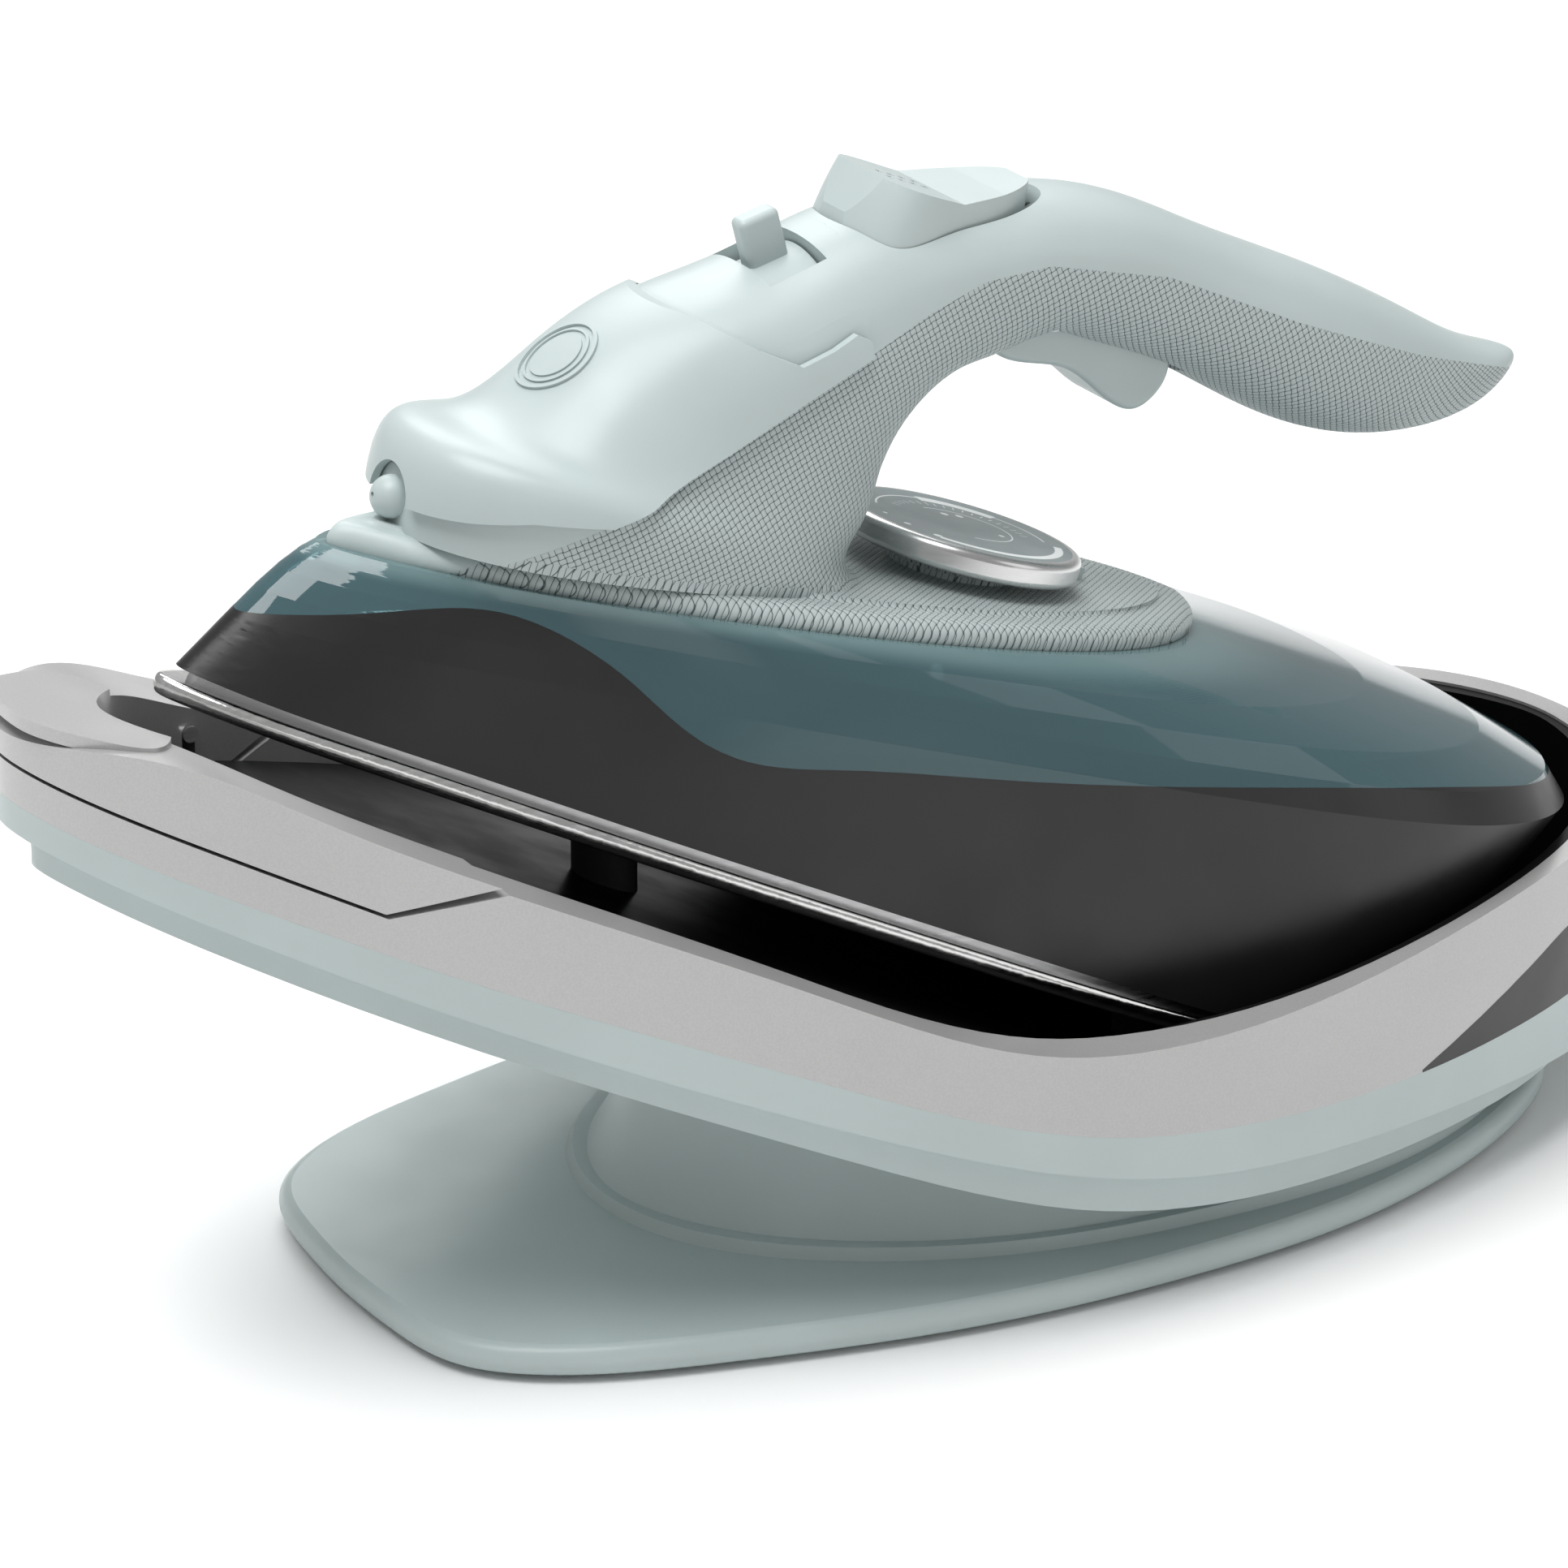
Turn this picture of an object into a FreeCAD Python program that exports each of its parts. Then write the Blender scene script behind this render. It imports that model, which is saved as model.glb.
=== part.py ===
import FreeCAD, Part
import math
import os
from FreeCAD import Rotation, Vector

os.makedirs("parts", exist_ok=True)

# ---- driving sizes, millimetres and degrees ----
iron_pitch = 25.0            # slope of the resting iron, nose up
nose_x, nose_z = -157.0, 125.0   # soleplate tip at rest
sole_length = 252.0
sole_half_width = 56.0
sole_thickness = 3.5
shield_height = 2.0
wall = 2.4                   # moulded plastic wall
skin = 1.5                   # thin moulded lid
tray_nose_x, tray_heel_x = -185.0, 147.0
tray_half_width = 79.0
trim_width = 8.0             # rim between tray edge and opening, at the front
heel_trim_width = 3.2        # the same rim round the heel
trim_change = (0.0, 70.0)    # where one width turns into the other
opening_nose_gap = 19.0      # rim width at the nose
opening_heel_gap = 5.0       # rim width at the heel
liner_wall = 2.0
floor_wall = 1.2             # floor of the liner
foot_half_length = 125.0
foot_half_width = 71.5
foot_top = 7.2
foot_lift = 1.2              # rubber feet stand this far below the plate
pedestal_front, pedestal_rear = -71.0, 116.0
pedestal_half_width = 61.0
pedestal_taper = 9.0
dial_radius = 23.0
dial_height = 5.0
dial_x = 146.3
dial_tilt = 7.0
dial_shaft_radius = 3.0
handle_inset = 3.0
lever_drum_radius = 14.0
lever_width = 11.0
button_half_width = 13.0
trigger_half_width = 7.5
pin_radius = 1.5
running_gap = 0.05           # radial, shaft in bore
moving_gap = 0.45            # between a moving face and a fixed one
seat_gap = 0.2               # resting iron above its pads
gland_radius = 3.6
pump_radius, valve_radius = 5.5, 4.5
cord_radius = 2.6
screw_head_radius, screw_radius = 2.8, 1.4
screw_length = 3.6
lock_travel = 5.0            # upward slide of the lock lever on its pins
reach = 240.0                # longer than anything that is cut

row_shift = Vector(-(tray_nose_x + tray_heel_x) / 2, 0, 0)


# ---- helpers ----
def closed_wire(points):
    curve = Part.BSplineCurve()
    curve.interpolate(Points=points, PeriodicFlag=True)
    return Part.Wire([curve.toShape()])


def plan_points(half, height):
    """Mirror half-outline points, starting at the heel; height is a function of x."""
    near = [Vector(x, -w, height(x)) for x, w in reversed(half)]
    far = [Vector(x, w, height(x)) for x, w in half[1:-1]]
    return near + far


def plan_wire(half, height):
    return closed_wire(plan_points(half, height))


def sloped(x0, z0, slope):
    return lambda x: z0 + slope * (x - x0)


def level(z):
    return lambda x: z


def inset(half, d):
    """Shrink a half-outline by about d all round."""
    first, last = half[0][0], half[-1][0]
    mid = (first + last) / 2
    k = (last - first - 2 * d) / (last - first)
    out = []
    for x, w in half:
        out.append((mid + (x - mid) * k, w - d * min(1.0, w / (3 * abs(d) + 1e-9)) if w else 0.0))
    return out


def loft(wires):
    return Part.makeLoft(wires, True, len(wires) < 3)


def skinned(rows):
    """Solid through rows of points, one closed row per flat section."""
    surface = Part.BSplineSurface()
    surface.interpolate([row + [row[0]] for row in rows])
    first, last, _, _ = surface.bounds()
    caps = [Part.Face(Part.Wire([surface.uIso(u).toShape()])) for u in (first, last)]
    shell = Part.makeShell([surface.toShape()] + caps)
    shell.sewShape()
    body = Part.Solid(shell)
    if body.Volume < 0:
        body.reverse()
    return body


def mixed(row_a, row_b, t):
    return [a * (1 - t) + b * t for a, b in zip(row_a, row_b)]


def bent(row_a, row_b, row_c, t):
    """Point t of the curve that leaves row_a, heads for row_b and ends at row_c."""
    return mixed(mixed(row_a, row_b, t), mixed(row_b, row_c, t), t)


def slab(half, z0, z1):
    face = Part.Face(plan_wire(half, level(z0)))
    return face.extrude(Vector(0, 0, z1 - z0))


def side_prism(points, half_y=reach):
    """Polygon in XZ swept across Y."""
    loop = [Vector(x, -half_y, z) for x, z in points]
    return Part.Face(Part.makePolygon(loop + [loop[0]])).extrude(Vector(0, 2 * half_y, 0))


def under_curve(points, depth=reach):
    """Everything below a smooth XZ curve, swept across Y."""
    curve = Part.BSplineCurve()
    curve.interpolate([Vector(x, -reach, z) for x, z in points])
    (xa, za), (xb, zb) = points[0], points[-1]
    corners = [Vector(xb, -reach, zb), Vector(xb, -reach, -depth), Vector(xa, -reach, -depth),
               Vector(xa, -reach, za)]
    lines = [Part.makeLine(a, b) for a, b in zip(corners, corners[1:])]
    return Part.Face(Part.Wire([curve.toShape()] + lines)).extrude(Vector(0, 2 * reach, 0))


def raised(points, dz):
    return [(x, z + dz) for x, z in points]


def box(x0, x1, y0, y1, z0, z1):
    return Part.makeBox(x1 - x0, y1 - y0, z1 - z0, Vector(x0, y0, z0))


def rod(radius, start, end):
    axis = end - start
    return Part.makeCylinder(radius, axis.Length, start, axis)


def across(radius, x, z, half_y):
    return rod(radius, Vector(x, -half_y, z), Vector(x, half_y, z))


def oval(cx, cz, angle, a, b, n=2.4, count=16):
    """Superellipse section whose long axis lies at angle in the XZ plane."""
    t = math.radians(angle)
    pts = []
    for i in range(count):
        u = 2 * math.pi * i / count
        c, s = math.cos(u), math.sin(u)
        p = a * math.copysign(abs(c) ** (2 / n), c)
        q = b * math.copysign(abs(s) ** (2 / n), s)
        pts.append(Vector(cx + p * math.cos(t), q, cz + p * math.sin(t)))
    return pts


def pitched(shape):
    """Iron frame to row frame: the nose rises, the sole tip lands on its rest point."""
    out = shape.copy()
    out.rotate(Vector(0, 0, 0), Vector(0, 1, 0), iron_pitch)
    out.translate(Vector(nose_x, 0, nose_z))
    return out


def save(name, shape, in_iron=False):
    placed = pitched(shape) if in_iron else shape.copy()
    placed.translate(row_shift)
    placed.exportStep("parts/" + name + ".step")
    box_ = placed.BoundBox
    print("%-18s solids %d valid %s vol %9.0f  x %6.1f..%6.1f y %5.1f..%5.1f z %5.1f..%5.1f" % (
        name, len(placed.Solids), placed.isValid(), placed.Volume,
        box_.XMin, box_.XMax, box_.YMin, box_.YMax, box_.ZMin, box_.ZMax))


# ---- iron outlines (iron frame: sole tip at zero, x to the heel, z up from the sole) ----
def iron_half(x_nose, x_heel, width_k, fullness):
    stations = [0.0, 0.016, 0.14, 0.32, 0.52, 0.715, 0.855, 0.955, 1.0]
    widths = [0.0, 0.105, 0.36, 0.61, 0.83, 1.0, 0.965, 0.68, 0.0]
    span = x_heel - x_nose
    return [(x_nose + s * span, w ** fullness * width_k * sole_half_width)
            for s, w in zip(stations, widths)]


sole_half = iron_half(0.0, sole_length, 1.0, 1.0)
skirt_low_half = iron_half(3.0, sole_length + 12.0, 1.03, 1.0)
shoulder_half = iron_half(9.0, sole_length + 32.0, 1.08, 1.0)
dome_half = iron_half(15.0, sole_length + 28.0, 1.06, 0.97)
ring_nose, ring_heel = 20.0, 201.0
ring_half_width = 37.0
ring_slope = 0.183
ring_plane = sloped(ring_nose, 33.0, ring_slope)
ring_half = [(ring_nose + s * (ring_heel - ring_nose), w * ring_half_width) for s, w in zip(
    [0.0, 0.016, 0.1, 0.25, 0.45, 0.64, 0.8, 0.94, 1.0],
    [0.0, 0.14, 0.43, 0.73, 0.94, 1.0, 0.9, 0.56, 0.0])]
seam = [(-20, 8), (12, 19), (28, 26.5), (47, 33.5), (60, 33), (72, 29.5), (84, 24.5), (94, 23),
        (112, 27), (145, 35.4), (181, 45.6), (229, 57.5), (276, 63), (300, 66)]


def iron_body(d):
    """Outer form of skirt and tank, shrunk by d."""
    low = plan_points(inset(skirt_low_half, d), level(sole_thickness + shield_height))
    shoulder = plan_points(inset(shoulder_half, d), sloped(9, 17, 0.156))
    dome = plan_points(inset(dome_half, d), sloped(15, 29 - d / 2, 0.16))
    ring = plan_points(inset(ring_half, d), lambda x: ring_plane(x) - max(d, 0.0))
    rows = [low, shoulder] + [bent(shoulder, dome, ring, t) for t in (0.25, 0.5, 0.75)] + [ring]
    return Part.makeLoft([closed_wire(row) for row in rows], True, True)


handle_sections = [
    (80.0, 48.0, 10.4, 48.5, 28.0), (80.0, 63.5, 4, 39.2, 26.5), (86.0, 76.0, 0, 33.0, 23.5),
    (93.5, 89.5, -3, 27.7, 21.5), (102.5, 98.5, -6, 23.8, 20.0), (114.0, 108.0, -21.5, 20.4, 18.5),
    (127.0, 115.5, -29.5, 17.2, 17.5), (144.0, 121.0, -64, 13.9, 17.0), (169.5, 122.2, -84, 13.3, 17.0),
    (198.0, 120.7, -90, 14.5, 17.5), (222.0, 121.3, -92, 12.3, 15.0), (239.0, 124.5, -97, 8.0, 10.5),
    (249.5, 130.0, -100, 3.2, 4.0)]


def handle_form(d):
    return skinned([oval(cx, cz, angle, max(a - d, 1.0), max(b - d, 1.0))
                    for cx, cz, angle, a, b in handle_sections])


# ---- iron: hot end ----
sole_top = sole_thickness
casting_top = sole_top + 9.0
cover_top = casting_top + 1.5
element_half_in, element_half_out = 17.0, 13.0


def make_soleplate():
    plate = loft([plan_wire(inset(sole_half, 1.2), level(0)),
                  plan_wire(sole_half, level(sole_thickness * 0.45)),
                  plan_wire(sole_half, level(sole_thickness * 0.8)),
                  plan_wire(inset(sole_half, 1.0), level(sole_thickness))])
    vents = []
    for x, w in sole_half[2:7]:
        for k in (0.45, 0.8):
            for side in (-1, 1):
                vents.append(Part.makeCylinder(1.3, sole_thickness + 2, Vector(x + 8, side * w * k, -1)))
    return plate.cut(Part.makeCompound(vents))


def element_groove(z0, z1):
    return slab(inset(sole_half, element_half_out), z0, z1).cut(
        slab(inset(sole_half, element_half_in), z0 - 1, z1 + 1))


def make_heater():
    casting = slab(inset(sole_half, 9), sole_top, casting_top)
    chamber = slab(inset(sole_half, 22), sole_top + 4, casting_top + 1)
    return casting.cut(chamber).cut(element_groove(casting_top - 4, casting_top + 1))


def make_heating_element():
    return element_groove(casting_top - 4, casting_top)


def make_chamber_cover():
    return slab(inset(sole_half, 11), casting_top, cover_top)


def make_heat_shield():
    return slab(inset(skirt_low_half, 2.6), sole_top, sole_top + shield_height).cut(
        slab(inset(sole_half, 9), sole_top - 1, sole_top + shield_height + 1)).cut(contact_pocket())


def make_thermostat():
    base = Part.makeCylinder(10, 7, Vector(150, 0, cover_top))
    stem = Part.makeCylinder(dial_shaft_radius - 0.6, 8, Vector(150, 0, cover_top + 7))
    return base.fuse(stem)


def make_thermal_fuse():
    return across(2.5, 95, cover_top + 2.5, 9)


# ---- iron: skirt, tank and handle base ----
def make_skirt():
    low = iron_body(0).common(under_curve(seam))
    hollow = iron_body(wall).common(under_curve(raised(seam, -wall)))
    mouth = slab(inset(sole_half, 7.5), 0, sole_top + shield_height + 4)
    return low.cut(hollow).cut(mouth).cut(contact_pocket())


contact_x0, contact_x1 = 256.0, 268.0
contact_half_y = 15.0


def contact_pocket():
    return side_prism([(contact_x0, -5), (contact_x1, -5), (contact_x1, 26), (contact_x0, 18)], contact_half_y)


def make_contact_block():
    block = side_prism([(contact_x0, 12), (contact_x1, 18), (contact_x1, 26), (contact_x0, 18)],
                       contact_half_y)
    return block.common(iron_body(0))


def make_tank():
    outer = iron_body(0).cut(under_curve(seam))
    inner = iron_body(wall).cut(under_curve(raised(seam, wall)))
    mouth = slab_on_ring(inset(ring_half, 3), -12, 12)
    return outer.cut(inner).cut(mouth).cut(shelf_form(-running_gap))


def slab_on_ring(half, dz0, dz1):
    low = plan_wire(half, lambda x: ring_plane(x) + dz0)
    high = plan_wire(half, lambda x: ring_plane(x) + dz1)
    return loft([low, high])


def make_tank_seal():
    ring = slab_on_ring(inset(ring_half, 3), -4, -1.5)
    return ring.cut(slab_on_ring(inset(ring_half, 6), -6, 1))


shelf_height = 5.0


def shelf_form(d):
    def row(shrink, dz):
        return plan_points(inset(ring_half, shrink + d), lambda x: ring_plane(x) + dz)
    return skinned([row(3.2, d - 1.5), row(1.7, 0.2), row(1.7, 2.2), row(3.4, shelf_height * 0.8 - d / 2),
                    row(9.0, shelf_height - d)])


def dial_axis():
    t = math.radians(dial_tilt)
    return Vector(-math.sin(t), 0, math.cos(t))


dial_top = Vector(dial_x, 0, 69.2)
dial_seat = dial_top - dial_axis() * dial_height


def dial_bore():
    return rod(dial_shaft_radius + running_gap, dial_seat - dial_axis() * 14, dial_seat + dial_axis() * 0.5)


# regions of the handle, as XZ outlines
cover_line = [(98.8, 95), (108.8, 105.6), (118.3, 114.1), (130.9, 120.5), (156.8, 125.6), (187.7, 125.6),
              (220.4, 127.2), (253, 130.5)]
cover_region = cover_line + [(262, 160), (60, 160), (91.2, 115.7), (96.3, 103.8)]
housing_region = [(60, 92.2), (77.6, 90.9), (81, 91.7), (86.2, 95.5), (96.1, 103.8), (91.0, 115.7),
                  (60, 150), (50, 120)]
lid_region = [(67.0, 91.5), (77.4, 90.3), (85.2, 90.2), (90.6, 94.6), (94.2, 98.4), (97.4, 98.2),
              (98.8, 95.6), (88, 84.8), (75.6, 72), (63, 59.5), (56.5, 54.4), (44, 50.7), (35.6, 46.6),
              (20, 40), (20, 80)]
lid_pivot = Vector(94.8, 0, 95.0)
stub_inner, stub_outer = 17.0, 21.4


def lever_axis_dir():
    return Vector(math.cos(math.radians(39.4)), 0, math.sin(math.radians(39.4)))


def lever_normal():
    d = lever_axis_dir()
    return Vector(-d.z, 0, d.x)


lever_face = Vector(85.0, 0, 104.6)
lever_hub = lever_face - lever_normal() * lever_drum_radius


def lever_space():
    half = lever_axis_dir() * (lever_width / 2 + moving_gap)
    drum = rod(lever_drum_radius + moving_gap, lever_hub - half, lever_hub + half)
    return drum.fuse(lever_mouth())


def lever_mouth():
    mouth = Part.makeBox(2 * half_mouth, lever_width + 2 * moving_gap, 30,
                         Vector(-half_mouth, -lever_width / 2 - moving_gap, 0))
    return on_lever(mouth)


half_mouth = 10.5


def on_lever(shape):
    """Local x across the iron, y along the drum, z away from the hub."""
    along, out = lever_axis_dir(), lever_normal()
    m = FreeCAD.Matrix(0, along.x, out.x, lever_hub.x, -1, along.y, out.y, lever_hub.y,
                       0, along.z, out.z, lever_hub.z, 0, 0, 0, 1)
    placed = shape.copy()
    placed.Placement = FreeCAD.Placement(m).multiply(shape.Placement)
    return placed


button_side = [(94.3, 112.5), (94.1, 116.5), (96.4, 124.6), (112, 125.3), (121, 129.2), (128.4, 132.8),
               (131.4, 131.6), (130.0, 127.6), (118, 121.5), (106, 115.5)]


def button_plan(grow):
    return [(93.8 - grow, 0), (95.0 - grow, 6 + grow), (100, button_half_width + grow),
            (112, button_half_width - 0.6 + grow), (124, button_half_width - 3 + grow),
            (130.6 + grow, 5 + grow), (131.6 + grow, 0)]


button_floor = [(88, 150), (88, 107.8), (106, 111.9), (118, 118.4), (134, 124.6), (134, 150)]


def button_pocket():
    return slab(button_plan(moving_gap), 100, 140).common(side_prism(button_floor, button_half_width + 6))


trigger_side = [(133.6, 101.6), (138, 101.2), (149.5, 102.9), (157, 101.2), (162.5, 99.6), (167.5, 99.8),
                (170.8, 103.4), (171.6, 108.6), (168, 113.8), (160, 115.6), (150, 116), (141, 114.8),
                (135, 110.5), (132.6, 105.4)]
trigger_pivot = Vector(140.5, 0, 110.5)


def trigger_slot():
    side = [(126, 96), (129.5, 106), (132.5, 114), (152, 119.5), (171.5, 118.5), (174.6, 109), (174, 95)]
    return side_prism(side, trigger_half_width + moving_gap)


# top of the space inside the handle column
hollow_line = [(30, 44), (60, 70), (74, 84), (84, 84), (96, 92), (120, 96), (124, 80)]


def column_space():
    room = handle_form(handle_inset + 3.2).fuse(shelf_form(2.2))
    room = room.common(side_prism([(0, -10), (0, 30)] + hollow_line + [(330, -10)]))
    return room.fuse(slab_on_ring(inset(ring_half, 11), -4, shelf_height - 1.4))


def make_grip():
    body = handle_form(0).fuse(shelf_form(0)).fuse(dial_boss())
    tops = side_prism(cover_region).fuse(side_prism(housing_region))
    shell = body.cut(tops.cut(handle_form(handle_inset)))
    pins = [across(pin_radius, trigger_pivot.x, trigger_pivot.z, trigger_half_width + 4), make_lever_pin()]
    for tool in [column_space(), lever_space(), button_pocket(), trigger_slot(), dial_bore(),
                 nozzle_bore(), button_well(),
                 lid_stubs(pin_radius + running_gap, stub_inner - moving_gap, reach),
                 pump_barrel(pump_radius + running_gap), valve_barrel(valve_radius + running_gap)] + pins:
        shell = shell.cut(tool)
    return shell


def make_handle_cover():
    top = handle_form(0).common(side_prism(cover_region)).cut(handle_form(handle_inset))
    return top.cut(side_prism(housing_region)).cut(button_pocket()).cut(lever_space())


def make_lever_housing():
    return (handle_form(0).common(side_prism(housing_region)).cut(handle_form(handle_inset))
            .cut(lever_space()).cut(button_pocket()))


def lid_stubs(radius, inner, outer):
    return Part.makeCompound([rod(radius, lid_pivot + Vector(0, side * inner, 0), lid_pivot + Vector(0, side * outer, 0))
                              for side in (-1, 1)])


def make_filler_lid():
    outer = handle_form(-moving_gap - skin)
    shell = outer.cut(handle_form(-moving_gap)).common(side_prism(lid_region)).cut(lid_nozzle_relief())
    return shell.fuse(lid_stubs(pin_radius, stub_inner, stub_outer).Solids)


def lid_nozzle_relief():
    return rod(7, Vector(20, 0, 42), Vector(34, 0, 44))


# ---- iron: controls ----
nozzle_tip = Vector(26.6, 0, 43.6)
nozzle_dir = Vector(0.985, 0, 0.17)


def nozzle_bore():
    return rod(2.0, nozzle_tip, nozzle_tip + nozzle_dir * 16)


def make_spray_nozzle():
    ball = Part.makeSphere(3.9, nozzle_tip + nozzle_dir * 4)
    barrel = rod(3.4, nozzle_tip + nozzle_dir * 4, nozzle_tip + nozzle_dir * 9)
    stem = rod(2.0, nozzle_tip + nozzle_dir * 3, nozzle_tip + nozzle_dir * 16)
    hole = rod(0.5, nozzle_tip - nozzle_dir, nozzle_tip + nozzle_dir * 18)
    shown = ball.fuse(barrel).cut(handle_form(0).fuse(shelf_form(0)))
    return max(shown.Solids, key=lambda solid: solid.Volume).fuse(stem).cut(hole)


def make_steam_lever():
    half = lever_width / 2
    swing = math.radians(38)
    drum = Part.makeCylinder(lever_drum_radius, lever_width, Vector(0, -half, 0), Vector(0, 1, 0))
    drum = drum.cut(Part.makeCylinder(lever_drum_radius - 2.2, lever_width + 2, Vector(0, -half - 1, 0),
                                      Vector(0, 1, 0)))
    r = lever_drum_radius + 4
    wedge_pts = [Vector(0, -half - 1, 0), Vector(-r * math.sin(swing), -half - 1, r * math.cos(swing)),
                 Vector(0, -half - 1, r * 1.4), Vector(r * math.sin(swing), -half - 1, r * math.cos(swing)),
                 Vector(0, -half - 1, 0)]
    wedge = Part.Face(Part.makePolygon(wedge_pts)).extrude(Vector(0, lever_width + 2, 0))
    sector = drum.common(wedge)
    tab = Part.makeBox(4.6, 8.0, 10.4, Vector(-2.3, -half + 0.6, lever_drum_radius - 1.5))
    tab = tab.makeFillet(1.2, tab.Edges)
    web = Part.makeBox(3.0, lever_width - 2, lever_drum_radius - 1.0, Vector(-1.5, -half + 1, 0))
    hub = Part.makeCylinder(3.6, lever_width, Vector(0, -half, 0), Vector(0, 1, 0))
    bore = Part.makeCylinder(pin_radius + running_gap, lever_width + 2, Vector(0, -half - 1, 0),
                             Vector(0, 1, 0))
    return on_lever(sector.fuse(tab).fuse(web).fuse(hub).cut(bore))


def make_lever_pin():
    half = lever_axis_dir() * (lever_width / 2 + 2.5)
    return rod(pin_radius, lever_hub - half, lever_hub + half)


def make_spray_button():
    half = button_plan(0)
    block = loft([plan_wire(half, level(108)), plan_wire(half, level(120)),
                  plan_wire(inset(half, 0.8), level(127)), plan_wire(inset(half, 3.0), level(136))])
    dots = [box(101 + 2.6 * i, 102.2 + 2.6 * i, y - 0.8, y + 0.8, 124.6, 130)
            for i in range(4) for y in (-2.0, 2.0)]
    return (block.common(side_prism(button_side)).cut(Part.makeCompound(dots))
            .cut(button_well()))


def button_well():
    return Part.makeCylinder(3.0, 13, Vector(112, 0, 107))


def make_button_spring():
    helix = Part.makeHelix(2.0, 7.6, 2.3)
    ring = Part.Wire([Part.makeCircle(0.35, Vector(2.3, 0, 0), Vector(0, 1, 0))])
    coil = Part.Wire(helix.Edges).makePipeShell([ring], True, True)
    coil.translate(Vector(112, 0, 109.6))
    return coil


def make_trigger():
    outline = closed_wire([Vector(x, -trigger_half_width, z) for x, z in trigger_side])
    body = Part.Face(outline).extrude(Vector(0, 2 * trigger_half_width, 0))
    rims = [e for e in body.Edges if e.BoundBox.YLength < 0.1]
    body = body.makeFillet(1.2, rims)
    return body.cut(across(pin_radius + running_gap, trigger_pivot.x, trigger_pivot.z, reach))


def make_trigger_pin():
    return across(pin_radius, trigger_pivot.x, trigger_pivot.z, trigger_half_width + 4)


def make_dial_ring():
    n = dial_axis()
    disc = Part.makeCylinder(dial_radius, dial_height, dial_seat, n)
    rims = [e for e in disc.Edges if isinstance(e.Curve, Part.Circle)]
    disc = disc.makeFillet(1.4, rims)
    face_seat = Part.makeCylinder(dial_radius - 2.0, 3, dial_top - n * 0.8, n)
    hub = Part.makeCylinder(dial_shaft_radius, 4, dial_seat - n * 0.5, n)
    return disc.cut(face_seat).cut(hub)


def make_dial_face():
    n = dial_axis()
    return Part.makeCylinder(dial_radius - 2.0, 0.8, dial_top - n * 0.8, n)


def make_dial_shaft():
    n = dial_axis()
    return rod(dial_shaft_radius, dial_seat - n * 12, dial_seat + n * 3.5)


def dial_boss():
    n = dial_axis()
    return Part.makeCylinder(12, 6, dial_seat - n * 6.3, n)


def make_dial_marker():
    marker = box(171.6, 175.2, -1.6, 1.6, 60, 68.4)
    return marker.cut(shelf_form(0))


def pump_barrel(radius):
    return rod(radius, Vector(76, 0, 50), Vector(86, 0, 72))


def make_pump_body():
    return pump_barrel(pump_radius).fuse(rod(pin_radius, Vector(86, 0, 72), Vector(88, 0, 77)))


def make_spray_hose():
    return rod(1.5, nozzle_tip + nozzle_dir * 16.2, Vector(70.6, 0, 52))


def valve_barrel(radius):
    return rod(radius, Vector(104, 0, 48), Vector(104, 0, 68))


def make_valve_body():
    return valve_barrel(valve_radius)


def make_valve_seat():
    return rod(6.5, Vector(104, 0, cover_top), Vector(104, 0, cover_top + 5))


# ---- base outlines (row frame before the final shift) ----
def spread(x0, x1, half_width, stations, widths):
    return [(x0 + s * (x1 - x0), w * half_width) for s, w in zip(stations, widths)]


tray_half = spread(tray_nose_x, tray_heel_x, tray_half_width,
                   [0.0, 0.012, 0.08, 0.22, 0.40, 0.53, 0.68, 0.82, 0.93, 0.985, 1.0],
                   [0.0, 0.16, 0.39, 0.67, 0.92, 1.0, 0.955, 0.80, 0.56, 0.28, 0.0])


def rim_width(x):
    start, end = trim_change
    share = min(1.0, max(0.0, (x - start) / (end - start)))
    return trim_width + (heel_trim_width - trim_width) * share


opening_half = [(tray_nose_x + opening_nose_gap + (x - tray_nose_x) * (
    (tray_heel_x - tray_nose_x - opening_nose_gap - opening_heel_gap) / (tray_heel_x - tray_nose_x)),
    max(0.0, w - rim_width(x) * min(1.0, w / 24.0))) for x, w in tray_half]
pedestal_half = spread(pedestal_front, pedestal_rear, pedestal_half_width,
                       [0.0, 0.03, 0.18, 0.33, 0.5, 0.7, 0.82, 0.93, 0.98, 1.0],
                       [0.0, 0.33, 0.75, 0.93, 1.0, 0.97, 0.85, 0.62, 0.36, 0.0])
foot_half = spread(-foot_half_length, foot_half_length, foot_half_width,
                   [0.0, 0.004, 0.022, 0.072, 0.19, 0.37, 0.556, 0.696, 0.804, 0.92, 0.97, 0.995, 1.0],
                   [0.0, 0.26, 0.51, 0.67, 0.825, 0.965, 1.0, 0.958, 0.853, 0.643, 0.475, 0.25, 0.0])
rim_top = [(-187, 122.5), (-166, 122), (-143, 111), (-105, 93), (-66, 75), (-40, 62.5), (-20, 56), (0, 53.5),
           (30, 53.5), (62, 56), (118, 60), (150, 60.5)]
trim_low = [(-187, 112.5), (-120, 81), (-66, 58.5), (-15, 39.5), (17, 34), (60, 31), (100, 30.5), (150, 30.5)]
shell_low = [(-187, 107), (-120, 73.5), (-60, 48), (-11, 30.5), (17, 25), (60, 21.5), (101, 18.5), (150, 14)]
belly_low = [(-187, 101), (-120, 67), (-60, 41), (-11, 22), (17, 16.5), (60, 13), (101, 11.8), (150, 11.6)]
floor_top = [(-187, 115), (-150, 104), (-100, 84), (-60, 67), (-20, 49), (20, 31), (50, 20), (75, 16.8),
             (100, 16.5), (150, 16.5)]
belly_inset = 5.0
shell_wall = 2.0
tall0, tall1 = -10.0, 150.0


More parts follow.
